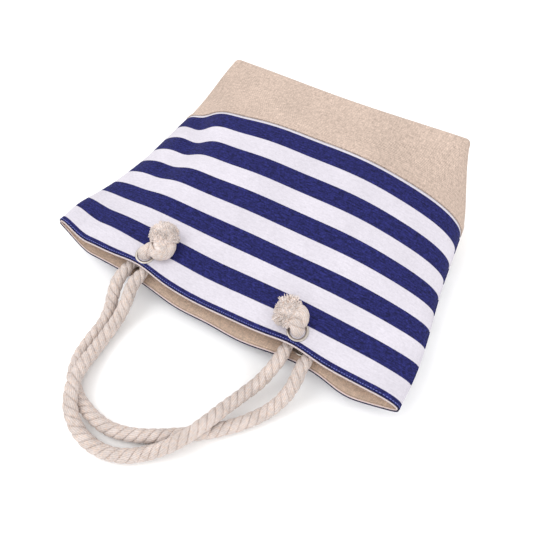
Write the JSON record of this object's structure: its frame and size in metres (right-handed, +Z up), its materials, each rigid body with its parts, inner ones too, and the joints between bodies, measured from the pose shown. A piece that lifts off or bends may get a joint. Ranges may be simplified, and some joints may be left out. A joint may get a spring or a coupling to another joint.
{
  "type": "beach bag",
  "caption": "Large open-topped tote with a striped canvas body, a plain woven base band, metal eyelets and knotted rope handles, lying on its back panel.",
  "frame": {"origin": "on the floor, under the middle of the bag's body, which lies on its back panel", "axes": "+X across the mouth, +Y from the mouth to the base, +Z up, out of the front panel"},
  "size_m": [0.5073, 0.5679, 0.138],
  "materials": {
    "striped_canvas": "matte woven canvas, navy blue and white stripes",
    "natural_weave": "matte coarse jute-look weave",
    "facing_cloth": "matte woven",
    "lining_cloth": "matte plain weave",
    "eyelet_metal": "dull silver",
    "cotton_rope": "matte twisted cotton"
  },
  "bodies": {
    "bag": {"front_striped_canvas": "striped_canvas", "front_base_band": "natural_weave", "front_mouth_facing": "facing_cloth", "front_lining": "lining_cloth", "front_left_eyelet": "eyelet_metal", "front_left_eyelet_washer": "eyelet_metal", "front_left_rope_tail": "cotton_rope", "front_left_knot": "cotton_rope", "front_right_eyelet": "eyelet_metal", "front_right_eyelet_washer": "eyelet_metal", "front_right_rope_tail": "cotton_rope", "front_right_knot": "cotton_rope", "back_striped_canvas": "striped_canvas", "back_base_band": "natural_weave", "back_mouth_facing": "facing_cloth", "back_lining": "lining_cloth", "back_left_eyelet": "eyelet_metal", "back_left_eyelet_washer": "eyelet_metal", "back_left_rope_tail": "cotton_rope", "back_left_knot": "cotton_rope", "back_right_eyelet": "eyelet_metal", "back_right_eyelet_washer": "eyelet_metal", "back_right_rope_tail": "cotton_rope", "back_right_knot": "cotton_rope"},
    "front_handle": {"front_handle_rope": "cotton_rope"},
    "back_handle": {"back_handle_rope": "cotton_rope"}
  },
  "joints": [
    {"name": "front_handle_swing", "type": "hinge", "parent": "bag", "child": "front_handle", "pos_m": [0, -0.186, 0.052], "axis": [-1, 0, 0], "range_deg": [0, 130]},
    {"name": "back_handle_swing", "type": "hinge", "parent": "bag", "child": "back_handle", "pos_m": [0, -0.186, 0.052], "axis": [-1, 0, 0], "range_deg": [0, 130]}
  ],
  "couplings": [
    {"joint": "back_handle_swing", "follows": "front_handle_swing", "ratio": 1}
  ]
}
